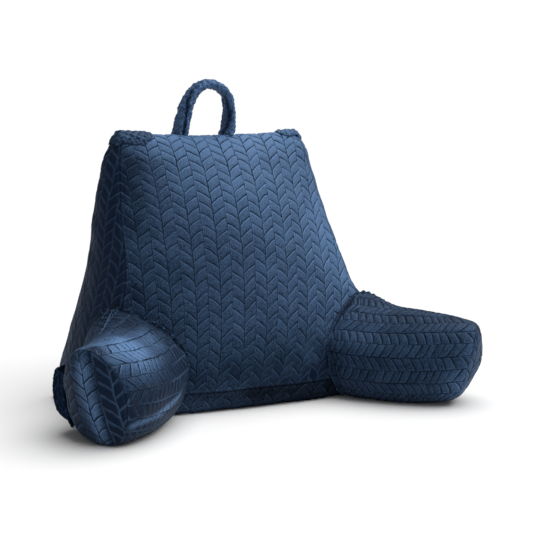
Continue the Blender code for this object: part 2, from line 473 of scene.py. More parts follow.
def lay_back(block):
    heights = {}
    front = block.sheet("c_low")
    top = block.sheet("b_high")
    centre = top.shape[0] // 2
    down = down_middle(front)
    block.cloth["c_low"] = (front_columns(middle_lengths(front, 0), down), down)
    over = np.broadcast_to(-lengths(top[centre : centre + 1], 1), top.shape[:2])
    block.cloth["b_high"] = (front_columns(middle_lengths(top, 0), 0.0), over)
    rear = block.sheet("c_high")
    block.cloth["c_high"] = (middle_lengths(rear, 0), down_middle(rear))
    for name in ("a_low", "a_high"):
        gusset = block.sheet(name)
        block.cloth[name] = (middle_lengths(gusset, 0) + GUSSET_PHASE, down_middle(gusset))
    base = block.sheet("b_low")
    block.cloth["b_low"] = (middle_lengths(base, 0), lengths(base, 1))
    for name, (across, down) in block.cloth.items():
        sheet = block.sheet(name)
        first, second = lengths(sheet, 0), lengths(sheet, 1)
        edges = [first, first[-1:] - first]
        if name != "c_low":  # the front panel turns over the top edge without a seam
            edges.append(second[:, -1:] - second)
        if name != "b_high":
            edges.append(second)
        gap = np.minimum.reduce(edges)
        if name == "c_low":
            rows = np.linspace(-1, 1, sheet.shape[1])
            foot = second[:, np.argmin(np.abs(rows - FOOT_SEAM))][:, None]
            gap = np.minimum(gap, np.abs(second - foot))
        heights[name] = pressed_in(block, name, leaf_relief(across, down), gap)
    sink(block, heights)


lay_back(back)
back.rest_on_floor()
print("braid laid on", len(back.cloth), "sides")

# %% [markdown]
# ## From block to finished piece
# The lengths become a UV map in metres, so the shader's braid falls exactly on the raised one.

# %% Finishing a block
# Painted light and shade: a corner is painted paler on faces turned right and up, towards the key
# light
PAINTED_LIGHTING = {  # how pale the pile lies: at rest, turned to the right, and turned up past a slant
    "back": (0.38, 0.55, 2.4, 0.38),
    "arm": (0.20, 0.0, 0.35, 0.0),
    "trim": (0.85, 0.30, 0.45, 0.0),
    "lap": (0.28, 0.30, 0.25, 0.0),
    "pocket": (-0.10, 0.0, 0.20, 0.0),
}
NAP_PATCHES = 0.012
PATCH_BROAD, PATCH_CLOSE = 0.11, 0.045
CLOSE_SHARE = 0.6
MOTTLE_WIDTH = 0.055
MOTTLE = 0.2
NAP_DEEPEST, NAP_PALEST = -0.35, 1.6
BACK_LIGHT_AND_SHADE = table(  # where light or shade is painted on, in block units, and how pale it is painted
    "at reach pale mottle",
    ((-1.0, 0.0, -1.0), (0.26, 3.0, 1.0), -0.24, 0.4),
    ((0.1, -0.76, -1.0), (3.0, 0.26, 1.0), -0.24),
    ((0.5, -0.70, -1.0), (0.7, 0.35, 1.0), -0.22),
    ((-0.8, -0.90, -1.0), (0.6, 0.14, 1.0), 0.80),
    ((1.0, 0.3, -1.0), (0.30, 1.2, 1.0), 0.42),
    ((-0.75, 0.93, -1.0), (0.26, 0.04, 0.6), -0.08),
    ((0.1, -0.1, -1.0), (0.9, 0.8, 1.0), 0.06),
    ((-1.0, 0.4, 0.0), (0.05, 0.8, 2.0), 0.05),
)


def paint_light_and_shade(block, light_patches):
    """Adds every patch of painted light or shade to the block's shade."""
    mottle = waves(block.points, MOTTLE_WIDTH, seed=8)
    for painted_light in light_patches:
        far = (block.unit - painted_light["at"]) / painted_light["reach"]
        far[:, 1] -= painted_light.get("slant", 0.0) * far[:, 2]
        fall = np.exp(-(far**2).sum(axis=1))
        block.shade += painted_light["pale"] * fall * (1 + painted_light.get("mottle", MOTTLE) * mottle)


def painted_light_level(block, nap):
    """Each corner's painted light and shade: about 0 where painted deep, 1 where painted pale."""
    rest, right, up, past = PAINTED_LIGHTING[nap]
    x, _, z = (block.normals() if block.calm is None else block.calm).T
    close = waves(block.points, PATCH_CLOSE, seed=4)
    patches = waves(block.points, PATCH_BROAD, seed=3) + CLOSE_SHARE * close
    level = rest + right * x + up * np.maximum(0, z - past)
    return np.clip(level + NAP_PATCHES * patches + block.shade, NAP_DEEPEST, NAP_PALEST)


def finish_piece(block, materials, slot_name, *nodes, fill=0.8, zone=None, nap="trim"):
    """zone says, from a face's place on the block, which of the materials it takes."""
    mesh = block.mesh
    # the attribute "nap" carries each corner's painted light and shade
    marks = {"gap": block.gap, "crest": block.crest, "nap": painted_light_level(block, nap)}
    for label, values in marks.items():
        mesh.attributes.new(label, "FLOAT", "POINT").data.foreach_set("value", values)
    uv = mesh.uv_layers.new(name="cloth")
    corner_of_loop = np.empty(len(mesh.loops), int)
    mesh.loops.foreach_get("vertex_index", corner_of_loop)
    corner_of_loop = corner_of_loop.reshape(-1, 4)
    middle = block.unit[corner_of_loop].mean(axis=1)
    lies = np.abs(middle).argmax(axis=1)
    out = np.zeros((len(corner_of_loop), 4, 2))
    for name, (fixed, end, first, second) in BLOCK_SIDES.items():
        here = (lies == fixed) & ((middle[np.arange(len(lies)), fixed] > 0) == (end == -1))
        spots = block.lattice[corner_of_loop[here]]
        across, down = block.cloth[name]
        out[here, :, 0] = across[spots[..., first], spots[..., second]]
        out[here, :, 1] = down[spots[..., first], spots[..., second]]
    uv.data.foreach_set("uv", out.ravel())
    mesh.shade_smooth()
    for material in materials:
        mesh.materials.append(plush_of[material])
    if zone is not None:
        mesh.polygons.foreach_set("material_index", zone(middle).astype(int))
    piece = placed(block.name, mesh)
    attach(piece, "root")
    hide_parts(*nodes)
    print(block.name, len(mesh.polygons) * 2, "triangles")
    return piece


# %% [markdown]
# ## Plush
# Plush is a pile of fine upright hairs: dark where one looks straight into it and pale where light
# skims it. A Principled shader does that with its sheen. The braid group draws the crisp groove
# lines on top of the real relief, as painted shade in the grooves and pale painted glints on deep
# pile, with painted lit rims and shaded undersides on the leaves; a second group gives the small
# patches and the grain of the pile. The painted light and shade of each corner is stored on the
# mesh, as its attribute "nap".

# %% Node helpers
def new_group(name, inputs, outputs):
    tree = bpy.data.node_groups.new(name, "ShaderNodeTree")
    for label, kind, value in inputs:
        socket = tree.interface.new_socket(label, in_out="INPUT", socket_type=kind)
        if value is not None:
            socket.default_value = value
    for label, kind in outputs:
        tree.interface.new_socket(label, in_out="OUTPUT", socket_type=kind)
    return tree, tree.nodes.new("NodeGroupInput"), tree.nodes.new("NodeGroupOutput")


def give(tree, out, **results):
    for label, value in results.items():
        tree.links.new(value, out.inputs[label])


def feed(tree, socket, value):
    if isinstance(value, bpy.types.NodeSocket):
        tree.links.new(value, socket)
    else:
        socket.default_value = value


def maths(tree, operation, *values, kind="ShaderNodeMath"):
    node = tree.nodes.new(kind)
    node.operation = operation
    for socket, value in zip(node.inputs, values):
        feed(tree, socket, value)
    return node.outputs[0]


def times(tree, first, second):
    return maths(tree, "MULTIPLY", first, second)


def ramp(tree, value, low, high, to_low=0.0, to_high=1.0):
    node = tree.nodes.new("ShaderNodeMapRange")
    node.interpolation_type = "SMOOTHSTEP"
    labels = ("Value", "From Min", "From Max", "To Min", "To Max")
    for label, number in zip(labels, (value, low, high, to_low, to_high)):
        feed(tree, node.inputs[label], number)
    return node.outputs[0]


def band(tree, value, low, middle, high):
    """1 at the middle, falling to 0 at both ends."""
    return times(tree, ramp(tree, value, low, middle), ramp(tree, value, high, middle))


def noise(tree, vector, scale, detail=2.0, roughness=0.5):
    node = tree.nodes.new("ShaderNodeTexNoise")
    feed(tree, node.inputs["Vector"], vector)
    set_inputs(node, {"Scale": scale, "Detail": detail, "Roughness": roughness})
    return node.outputs["Fac"]


def mark(tree, name):
    """A value that is stored at the corners of the mesh."""
    node = tree.nodes.new("ShaderNodeAttribute")
    node.attribute_name = name
    return node.outputs["Fac"]


def grouped(tree, group, label, socket):
    """A group's node, fed through one of its inputs."""
    node = tree.nodes.new("ShaderNodeGroup")
    node.node_tree = group
    tree.links.new(socket, node.inputs[label])
    return node


def bump(tree, height, distance, strength):
    node = tree.nodes.new("ShaderNodeBump")
    set_inputs(node, {"Distance": distance, "Strength": strength})
    tree.links.new(height, node.inputs["Height"])
    return node


# %% The braid group
LEAF_EDGE = (0.0010, 0.0020, 0.0036)  # the lit rim below each groove, in metres from it
RIDGE_EDGE = (0.0004, 0.0012, 0.0024)
VALLEY_EDGE = (0.0012, 0.0020, 0.0034)
VALLEY_EDGE_SHARE = 0.6
LEAF_UNDER = 0.0055  # the shaded part above each groove
LINE_WIDTH = 0.0016
RIDGE_THIN = 1.4  # a ridge's line is this much thinner than the others
LINE_WANDER = 0.0050
WANDER_SCALE = 55.0
PRESSED_SCALE = 32.0  # here and there the lines are pressed in less and look fainter
PRESSED_RANGE = (0.36, 0.56)
LINE_FAINTEST = 0.50


def wandered(tree, cloth):
    """The cloth's coordinates with a small uneven shift, so that no line is drawn with a ruler."""
    vector = "ShaderNodeVectorMath"
    drift = noise(tree, cloth, WANDER_SCALE).node.outputs["Color"]
    centred = maths(tree, "SUBTRACT", drift, (0.5, 0.5, 0.5), kind=vector)
    reach = (LINE_WANDER, LINE_WANDER, 0.0)
    return maths(tree, "MULTIPLY_ADD", centred, reach, cloth, kind=vector)


def braid_group():
    tree, given, out = new_group(
        "Braid lines",
        [("Cloth", "NodeSocketVector", None), ("Line Width", "NodeSocketFloat", LINE_WIDTH)],
        [(label, "NodeSocketFloat") for label in ("Height", "Groove", "Edge", "Under", "Leaf")],
    )
    cloth = wandered(tree, given.outputs["Cloth"])
    split = tree.nodes.new("ShaderNodeSeparateXYZ")
    tree.links.new(cloth, split.inputs[0])
    columns = maths(tree, "DIVIDE", split.outputs["X"], LEAF_WIDE)
    column = maths(tree, "FLOOR", columns)
    valley = maths(tree, "PINGPONG", columns, 1.0)
    bow = maths(tree, "MULTIPLY_ADD", valley, SLIDE_BENT * LEAF_RISE, SLIDE_STRAIGHT * LEAF_RISE)
    slide = times(tree, valley, bow)
    leaves = maths(tree, "DIVIDE", maths(tree, "SUBTRACT", split.outputs["Y"], slide), LEAF_PITCH)
    leaves = maths(tree, "MULTIPLY_ADD", maths(tree, "FLOORED_MODULO", column, 2.0), 0.5, leaves)
    part = maths(tree, "FRACT", leaves)
    rest = maths(tree, "SUBTRACT", 1.0, part)
    leaf_long = LEAF_PITCH * LEAF_SLANT
    cross = times(tree, maths(tree, "MINIMUM", part, rest), leaf_long)
    to_valley = times(tree, maths(tree, "SUBTRACT", 1.0, valley), LEAF_WIDE)
    to_ridge = times(tree, valley, LEAF_WIDE * RIDGE_THIN)
    width = given.outputs["Line Width"]
    nearest = maths(tree, "MINIMUM", maths(tree, "MINIMUM", cross, to_valley), to_ridge)
    pressed = noise(tree, given.outputs["Cloth"], PRESSED_SCALE)
    pressed = ramp(tree, pressed, *PRESSED_RANGE, LINE_FAINTEST, 1.0)
    groove = times(tree, ramp(tree, nearest, width, 0.0), pressed)
    height = maths(tree, "SUBTRACT", 1.0, groove)
    above = times(tree, rest, leaf_long)
    under = times(tree, ramp(tree, above, LEAF_UNDER, 0.0), pressed)
    below = times(tree, part, leaf_long)
    past_ridge, past_valley = (
        times(tree, maths(tree, "WRAP", at, 1.0, -1.0), LEAF_WIDE)
        for at in (columns, maths(tree, "SUBTRACT", columns, 1.0))
    )
    edge = band(tree, below, *LEAF_EDGE)
    edge = maths(tree, "MAXIMUM", edge, band(tree, past_ridge, *RIDGE_EDGE))
    valley_edge = times(tree, band(tree, past_valley, *VALLEY_EDGE), VALLEY_EDGE_SHARE)
    edge = maths(tree, "MAXIMUM", edge, valley_edge)
    edge = times(tree, edge, height)
    cell = tree.nodes.new("ShaderNodeCombineXYZ")
    tree.links.new(column, cell.inputs[0])
    tree.links.new(maths(tree, "FLOOR", leaves), cell.inputs[1])
    speckle = tree.nodes.new("ShaderNodeTexWhiteNoise")
    tree.links.new(cell.outputs[0], speckle.inputs["Vector"])
    leaf = speckle.outputs["Value"]
    give(tree, out, Height=height, Groove=groove, Edge=edge, Under=under, Leaf=leaf)
    return tree


BRAID = braid_group()

# %% The nap group
BROAD_NOISE, BROAD_RANGE = (9.0, 2.0, 0.55), (0.38, 0.64)  # a noise is scale, detail, roughness
CLOSE_NOISE, CLOSE_RANGE = (38.0, 3.0, 0.6), (0.36, 0.66)
PILE_NOISE = (380.0, 2.0, 0.8)
BROAD_PART, CLOSE_PART = 0.65, 0.35


def nap_group():
    tree, given, out = new_group(
        "Plush nap",
        [("Place", "NodeSocketVector", None)],
        [("Patch", "NodeSocketFloat"), ("Pile", "NodeSocketFloat")],
    )
    place = given.outputs["Place"]
    broad = ramp(tree, noise(tree, place, *BROAD_NOISE), *BROAD_RANGE)
    close = ramp(tree, noise(tree, place, *CLOSE_NOISE), *CLOSE_RANGE)
    patch = maths(tree, "MULTIPLY_ADD", broad, BROAD_PART, times(tree, close, CLOSE_PART))
    give(tree, out, Patch=patch, Pile=noise(tree, place, *PILE_NOISE))
    return tree


NAP = nap_group()

# %% The plush materials
COVER = ((0.0028, 0.0064, 0.0165), (0.095, 0.18, 0.335), 0.08)
PLUSHES = table(  # the colours of deep and pale pile, the sheen, and how strong and wide lines are
    "name dark light sheen lines width",
    ("plush_cover", *COVER, 1.0, 0.0015),
    ("plush_arm", *COVER, 1.15, 0.0020),
    # the gusset's plush is dimmer than the cover's, as painted shade
    ("plush_gusset", (0.0036, 0.0082, 0.0205), (0.07, 0.135, 0.26), 0.05, 0.9, 0.0011),
    # the foot band's near-black plush is a painted shadow
    ("plush_under", (0.0040, 0.0055, 0.0085), (0.05, 0.09, 0.17), 0.0, 0.7, 0.0013),
    # the pocket's dimmer plush, without sheen, is painted shade
    ("plush_pocket", (0.0048, 0.0102, 0.0235), (0.06, 0.12, 0.24), 0.0, 0.9, 0.0016),
    ("plush_strap", (0.0050, 0.0110, 0.0280), (0.085, 0.16, 0.31), 0.20, 0.3, 0.0015),
)
GLINT = 0.66
PALER, DEEPER = 1.2, 0.30  # the colours of lit rims and of deep lines, as shares of light and dark
LEAF_SPREAD = 0.10  # how much the leaves, the patches and the hairs differ in paleness
PATCH_SPREAD = 0.06
GRAIN = 2.0
GRAIN_TURN = (-0.1, 0.6, 0.35, 1.0)  # pale pile shows more of its grain
LINE_TURN = (-0.10, 0.08)  # lines are light on deep pile, below this, and dark on pale pile
EDGE_TURN = (0.25, 0.85, 0.16, 0.80)  # the leaves' rims shine more where the pile is pale
GROOVE_TURN = (0.35, 0.95, 0.64, 0.98)
UNDER_DARK = 0.28
RIDGE_LINE = 0.0018
RIDGE_CORE = 0.3
RIDGE_HIGHLIGHT = 0.7
SEAM_LINE = 0.0026
SEAM_CORE = 0.001
SEAM_SHADE = 0.55
SEAM_CREST = 0.0060
SEAM_CREST_HIGHLIGHT = 0.04
ROUGH, ROUGH_GRAIN = 0.42, 0.2
GLOSS = 0.15
GLOSS_TINT = (0.25, 0.52, 1.0, 1.0)
SHEEN_ROUGH = 0.35
SHEEN_TINT = (0.30, 0.55, 1.0, 1.0)
LINE_BUMP, LINE_BUMP_STRENGTH = 0.0016, 0.9
PILE_BUMP, PILE_BUMP_STRENGTH = 0.0010, 0.9


def mixed(tree, factor, first, second):
    node = tree.nodes.new("ShaderNodeMix")
    node.data_type = "RGBA"
    feed(tree, node.inputs["Factor"], factor)
    colours = [s for s in node.inputs if s.type == "RGBA"]
    feed(tree, colours[0], first)
    feed(tree, colours[1], second)
    return next(s for s in node.outputs if s.type == "RGBA")


def spread(tree, value, width):
    """Moves a value from 0 to 1 so that it lies around 0, over the given width."""
    return maths(tree, "MULTIPLY_ADD", value, width, -width / 2)


def plush(name, dark, light, sheen, lines, width):
    material = bpy.data.materials.new(name)
    material.use_nodes = True
    tree = material.node_tree
    shader = tree.nodes["Principled BSDF"]
    where = tree.nodes.new("ShaderNodeTexCoord")
    cloth = tree.nodes.new("ShaderNodeUVMap")
    cloth.uv_map = "cloth"
    gap, painted_light = mark(tree, "gap"), mark(tree, "nap")
    braid = grouped(tree, BRAID, "Cloth", cloth.outputs["UV"])
    braid.inputs["Line Width"].default_value = width
    nap = grouped(tree, NAP, "Place", where.outputs["Object"])
    pale = (*(min(1.0, x * PALER) for x in light), 1)
    glint = (*(x * GLINT for x in light), 1)
    deep = (*(x * DEEPER for x in dark), 1)

    leaf = spread(tree, braid.outputs["Leaf"], LEAF_SPREAD)
    patch = spread(tree, nap.outputs["Patch"], PATCH_SPREAD)
    grain = spread(tree, nap.outputs["Pile"], GRAIN)
    grain = times(tree, grain, ramp(tree, painted_light, *GRAIN_TURN))
    level = maths(tree, "ADD", maths(tree, "ADD", leaf, patch), maths(tree, "ADD", painted_light, grain))
    level = maths(tree, "DIVIDE", level, NAP_PALEST)
    level.node.use_clamp = True
    colour = mixed(tree, level, (*dark, 1), (*light, 1))

    # a painted highlight on the crest beside each seam
    seam_crest_highlight = band(tree, gap, SEAM_LINE, SEAM_LINE + SEAM_CORE, SEAM_CREST)
    seam_crest_highlight = times(tree, seam_crest_highlight, SEAM_CREST_HIGHLIGHT)
    colour = mixed(tree, seam_crest_highlight, colour, pale)
    # painted highlights on the leaves' lit rims, and painted shade under each leaf
    edge = times(tree, braid.outputs["Edge"], ramp(tree, painted_light, *EDGE_TURN))
    colour = mixed(tree, edge, colour, pale)
    under = times(tree, braid.outputs["Under"], UNDER_DARK * lines)
    colour = mixed(tree, under, colour, deep)
    # the groove lines are painted: pale glints on deep pile, dark shade in the grooves on pale pile
    line = mixed(tree, ramp(tree, painted_light, *LINE_TURN), glint, deep)
    depth = times(tree, ramp(tree, painted_light, *GROOVE_TURN), lines)
    colour = mixed(tree, times(tree, braid.outputs["Groove"], depth), colour, line)
    # painted shade in the dip of each seam
    colour = mixed(tree, ramp(tree, gap, SEAM_LINE, SEAM_CORE, 0.0, SEAM_SHADE), colour, deep)
    # a painted highlight along the seam over the left arm
    far = maths(tree, "ABSOLUTE", mark(tree, "crest"))
    ridge = ramp(tree, far, RIDGE_LINE, RIDGE_LINE * RIDGE_CORE, 0.0, RIDGE_HIGHLIGHT)
    colour = mixed(tree, ridge, colour, pale)
    tree.links.new(colour, shader.inputs["Base Color"])

    rough = maths(tree, "MULTIPLY_ADD", nap.outputs["Pile"], ROUGH_GRAIN, ROUGH)
    tree.links.new(rough, shader.inputs["Roughness"])
    gloss = GLOSS if sheen else 0.0
    set_inputs(shader, {"Specular IOR Level": gloss, "Specular Tint": GLOSS_TINT})
    set_inputs(shader, {"Sheen Weight": sheen, "Sheen Roughness": SHEEN_ROUGH})
    set_inputs(shader, {"Sheen Tint": SHEEN_TINT})
    crisp = bump(tree, braid.outputs["Height"], LINE_BUMP, LINE_BUMP_STRENGTH * lines)
    fuzz = bump(tree, nap.outputs["Pile"], PILE_BUMP, PILE_BUMP_STRENGTH)
    tree.links.new(crisp.outputs["Normal"], fuzz.inputs["Normal"])
    tree.links.new(fuzz.outputs["Normal"], shader.inputs["Normal"])
    return material


plush_of = {row["name"]: plush(**row) for row in PLUSHES}
ON_SIDE = 0.9999


def back_zone(middle):
    """0 on the braided panels, 1 on the side gussets, 2 on the turned-under foot, painted dark as
    shadow.
    """
    gusset = (np.abs(middle[:, 0]) > ON_SIDE).astype(int)
    foot = np.where(middle[:, 2] < -ON_SIDE, FOOT_SEAM, SIDE_FOOT)
    return np.where(middle[:, 1] < foot, 2, gusset)


paint_light_and_shade(back, BACK_LIGHT_AND_SHADE)
back_materials = ["plush_cover", "plush_gusset", "plush_under"]
finish_piece(back, back_materials, "cover", "back_cushion", zone=back_zone, nap="back")

# %% [markdown]
# ## The arms
# Each arm starts where its cloth leaves the back cushion, so its root lies on the cushion like a
# sewn-on sleeve. A search along every line of the block finds that place.

# %% Arm shape
ARM_CUTS = (72, 60, 118)
BACK_GUIDE_CUTS = (40, 40, 20)
SEARCH_TO = 0.2
SEARCH_STEPS = 11
ROOT_GAP = 0.0005
ROOT_TUCK = 0.0075
ROOT_TUCK_LENGTH = 0.016
FOLD_HEIGHT = 0.0055
FOLD_PITCH = 0.0125
FOLD_REACH = 0.040
FOLD_AT_SIDES = 0.35  # the folds are highest on the arm's top
FOLD_SHADING = 0.35
FOLD_LEVEL = 0.3
FOLD_WANDER = [(0.0035, 61.0, 0.0), (0.0020, 143.0, 2.0)]  # each wave's height, rate and start
RIDGE = {"root": -0.05, "turn": 0.75}  # the seam that runs out over the top of the left arm
RIDGE_TO = 0.2
RIDGE_FADE = 0.4
RIDGE_THINNING = 0.002
ON_TOP = 0.98
ARM_GATHER = 0.40  # how much more cloth lies bunched along the arm behind its end
ARM_GATHER_FROM = 0.02
ARM_GATHER_OVER = 0.07
CAP_LEAN = 0.09
CAP_PHASE = 0.0213
INNER_PHASE = -0.0089
# Painted light and shade on the arms: painted highlights on the left arm's lit shoulder, end and
# lower inner edge, painted shade at the roots, folds and undersides and on the right arm's top
ARM_LIGHT_AND_SHADE = {
    -1: table(
        "at reach pale slant",
        ((-0.65, 1.0, 0.56), (0.60, 0.33, 0.34), 1.20),
        ((-1.0, 0.50, 0.60), (0.60, 0.32, 0.33), 0.12),
        ((-1.0, -0.7, 0.0), (1.0, 0.75, 2.0), -0.30),
        ((-1.0, 0.1, -0.9), (1.4, 1.5, 1.00), -0.78),
        ((-0.2, 1.0, -0.8), (0.9, 0.35, 0.42), -0.62),
        ((0.9, 1.0, -0.5), (0.5, 0.60, 0.80), -0.75),
        ((0.12, 0.4, 1.0), (0.26, 0.6, 0.03), 0.70),
        ((-0.10, -0.4, 1.0), (0.22, 0.6, 0.03), 0.78),
        ((-0.70, 0.1, 1.0), (0.36, 1.4, 0.05), -0.60),
        ((-1.0, -0.44, 0.16), (0.30, 0.12, 0.75), 1.60, -2.0),
        ((-0.80, 1.0, -0.45), (0.34, 0.30, 0.42), 0.75),
        ((-0.38, 1.0, 0.94), (0.32, 0.20, 0.10), -1.00),
        ((-0.26, -0.85, 1.0), (0.25, 0.35, 0.05), 0.55),
        ((0.9, 0.0, 1.0), (0.40, 3.0, 0.04), -0.40),
    ),
    1: table(
        "at reach pale slant",
        ((-0.9, 0.5, 0.2), (1.5, 1.2, 2.0), -0.04),
        ((0.0, 1.0, 0.2), (1.2, 0.35, 1.2), -0.36),
        ((-0.9, -0.6, 1.0), (0.9, 0.7, 0.35), 0.40),
        ((-1.0, 0.6, 1.0), (0.9, 0.7, 0.12), 0.25),
    ),
}


def arm_place(unit, side):
    a, b, c = unit.T.copy()
    a, b = round_pair(a, b, np.where(b > 0, ARM_ROUND["over"], ARM_ROUND["under"]))
    a, c = round_pair(a, c, np.where(c > 0, ARM_ROUND["end"], 0.0))
    rim = np.where(b > 0, RIM_ROUND[side]["top"], RIM_ROUND[side]["foot"])
    b, c = round_pair(b, c, np.where(c > 0, rim, 0.0))
    s = (c + 1) / 2
    x, y = curve(ARM_ROWS, s, "x"), curve(ARM_ROWS, s, "y")
    run = heading(ARM_ROWS, s, ("x", "y"), ARM_STEP)
    tip = np.maximum(0, c)
    dome = ARM_DOME * tip**3 * np.maximum(0, 1 - a * a) * np.maximum(0, 1 - b * b)
    bulge = dome + ARM_LEAN * b * tip**2
    a = a + curve(ARM_ROWS, s, "peak") * np.maximum(0, b) ** 2 * (1 - a) / 2
    reach = a * curve(ARM_ROWS, s, "half")
    x = x - run[:, 1] * reach + run[:, 0] * bulge
    y = y + run[:, 0] * reach + run[:, 1] * bulge
    t = (b + 1) / 2
    height = curve(ARM_ROWS, s, "height") - ARM_SETTLE[side] * tip**2
    z = height * ((1 + FLOOR_SINK) * t - FLOOR_SINK)
    return np.stack([x * side, y, z], axis=1)


def smooth_face(cuts, place):
    """A piece's face before its braid is sunk, to lay other pieces on."""
    block = Block("guide", cuts)
    block.points = place(block.unit)
    block.face_out()
    faces = [tuple(p.vertices) for p in block.mesh.polygons]
    tree = BVHTree.FromPolygons([Vector(p) for p in block.points], faces)
    bpy.data.meshes.remove(block.mesh)
    return tree


BACK_FACE = smooth_face(BACK_GUIDE_CUTS, back_place)


def outside(points):
    """How far each point stands outside the back cushion; inside is below 0."""
    far = np.empty(len(points))
    for i, p in enumerate(points):
        hit, normal, _, distance = BACK_FACE.find_nearest(Vector(p))
        far[i] = distance if (Vector(p) - hit).dot(normal) > 0 else -distance
    return far


def start_at_back(block, place, both=False):
    """Shortens every line of the block so that it starts, or also ends, on the back cushion."""
    sheet = block.lattice[:, :2]
    keys, which = np.unique(sheet, axis=0, return_inverse=True)
    which = which.ravel()
    ab = keys / block.size[:2] * 2 - 1
    limits = []
    for inner, outer in ((-1.0, SEARCH_TO), (1.0, -SEARCH_TO)):
        low, high = np.full(len(ab), inner), np.full(len(ab), outer)
        for _ in range(SEARCH_STEPS):
            middle = (low + high) / 2
            clear = outside(place(np.column_stack([ab, middle]))) > ROOT_GAP
            high, low = np.where(clear, middle, high), np.where(clear, low, middle)
        limits.append(high[which])
        if not both:
            limits.append(np.ones(len(block.unit)))
            break
    start, end = limits
    unit = block.unit.copy()
    unit[:, 2] = start + (end - start) * (unit[:, 2] + 1) / 2
    return unit


def lay_arm(block):
    """Lays the braid along the arm, draws in its root and gathers folds beside it."""
    heights = {}
    outer, inner = block.sheet("a_high"), block.sheet("a_low")
    top, base = block.sheet("b_high"), block.sheet("b_low")
    # sheets run [c, b] on the outer and inner sides, and [a, c] on the top and the base
    inner_up = lengths(inner, 1) + INNER_PHASE
    over = inner_up[:, -1:] + lengths(top, 0).T
    outer_down = over[:, -1:] + lengths(outer[:, ::-1], 1)[:, ::-1]
    along = lengths(inner, 0)
    from_tip = along[-1:, :] - along
    mid = from_tip[:, from_tip.shape[1] // 2][:, None]
    mid = mid * (1 + ARM_GATHER * soft_step((mid - ARM_GATHER_FROM) / ARM_GATHER_OVER))
    block.cloth["a_low"] = (inner_up, np.broadcast_to(mid, inner_up.shape))
    block.cloth["b_high"] = (over.T, np.broadcast_to(mid.T, over.T.shape))
    block.cloth["a_high"] = (outer_down, np.broadcast_to(mid, outer_down.shape))
    block.cloth["b_low"] = (lengths(base, 0), np.broadcast_to(mid.T, base.shape[:2]))
    cap = block.sheet("c_high")
    cap_across, cap_up = middle_lengths(cap, 0), middle_lengths(cap, 1)
    block.cloth["c_high"] = (cap_across - CAP_LEAN * cap_up + CAP_PHASE, -cap_up)
    root = block.sheet("c_low")
    block.cloth["c_low"] = (middle_lengths(root, 0), -middle_lengths(root, 1))
    for name, (across, down) in block.cloth.items():
        sheet = block.sheet(name)
        first, second = lengths(sheet, 0), lengths(sheet, 1)
        relief = leaf_relief(across, down)
        tuck = np.zeros(across.shape)
        if name in ("c_high", "c_low"):
            gap = np.minimum.reduce([first, first[-1:] - first, second, second[:, -1:] - second])
            if name == "c_low":  # the root is hidden: no braid and no seam
                relief = np.ones(across.shape)
                gap = gap + FAR
        else:
            on_flank = name in ("a_low", "a_high")
            run = first if on_flank else second
            gap = (run[-1:] if on_flank else run[:, -1:]) - run
            tuck = ROOT_TUCK * np.exp(-((run / ROOT_TUCK_LENGTH) ** 2))
            wander = sum(high * np.sin(across * rate + start) for high, rate, start in FOLD_WANDER)
            fold = 0.5 + 0.5 * np.sin(2 * np.pi * (run + wander) / FOLD_PITCH)
            fade = np.exp(-run / FOLD_REACH) * soft_step(run / FOLD_PITCH)
            fade *= 1.0 if name == "b_high" else FOLD_AT_SIDES
            tuck += FOLD_HEIGHT * fade * fold
            # painted shade in the folds' hollows and painted light on their crests
            block.shade[block.side(name)] = FOLD_SHADING * fade * (FOLD_LEVEL - fold)
        heights[name] = pressed_in(block, name, relief, gap) - tuck
    sink(block, heights)


for name, side in (("left", -1), ("right", 1)):
    arm = Block("plush_arm_" + name, ARM_CUTS)
    arm.points = arm_place(start_at_back(arm, lambda unit: arm_place(unit, side)), side)
    arm.face_out()
    lay_arm(arm)
    arm.rest_on_floor()
    # the left arm's seam over its top is drawn as a painted highlight line
    if side < 0:
        a, b, c = arm.unit.T
        aside = a - RIDGE["root"] - RIDGE["turn"] * (c + 1)
        shown = (b > ON_TOP) * soft_step((RIDGE_TO - c) / RIDGE_FADE)
        thinned = np.where(shown > 0, RIDGE_THINNING * (1 - shown), FAR)
        arm.crest = aside * ARM_ROWS[2]["half"] + thinned
    paint_light_and_shade(arm, ARM_LIGHT_AND_SHADE[side])
    finish_piece(arm, ["plush_arm"], "cover", "arm_" + name, nap="arm")

# %% [markdown]
# ## The carrying loop
# A folded strap: its two rolled edges lie side by side, with a groove between them on the front.

# %% Handle
HANDLE_ROWS = table(
    "at x z thick wide",
    (0.00, -0.056, -0.045, 0.024, 0.052),
    (0.17, -0.045, 0.008, 0.022, 0.050),
    (0.31, -0.033, 0.048, 0.019, 0.046),
    (0.40, -0.017, 0.072, 0.018, 0.040),
    (0.49, 0.006, 0.084, 0.017, 0.036),
    (0.57, 0.030, 0.079, 0.016, 0.034),
    (0.65, 0.048, 0.062, 0.015, 0.034),
    (0.77, 0.053, 0.026, 0.017, 0.043),
    (1.00, 0.040, -0.045, 0.022, 0.056),
)
HANDLE_MIDDLE = (-0.010, 0.153, HEIGHT)
HANDLE_CUTS = (20, 20, 190)
HANDLE_ROUND = 0.90
GROOVE_ROWS = table(  # how far round the strap the groove lies, in degrees back from its front
    "at turn share",
    (0.00, 8.0, 1.0),
    (0.18, 14.0, 1.0),
    (0.34, 52.0, 1.0),
    (0.45, 64.0, 0.2),
    (0.58, 60.0, 0.1),
    (0.70, 56.0, 0.7),
    (0.80, 44.0, 0.8),
    (0.90, 80.0, 0.6),
    (1.00, 90.0, 0.6),
)
GROOVE_DEPTH = 0.42
GROOVE_WIDTH = 20.0
GROOVE_SHADE = 0.9
GROOVE_LIP = 26.0
LIP_WIDTH = 9.0
LIP_HIGHLIGHT = 0.6
STRAP_TOP = 0.50
STRAP_STEP = 0.005
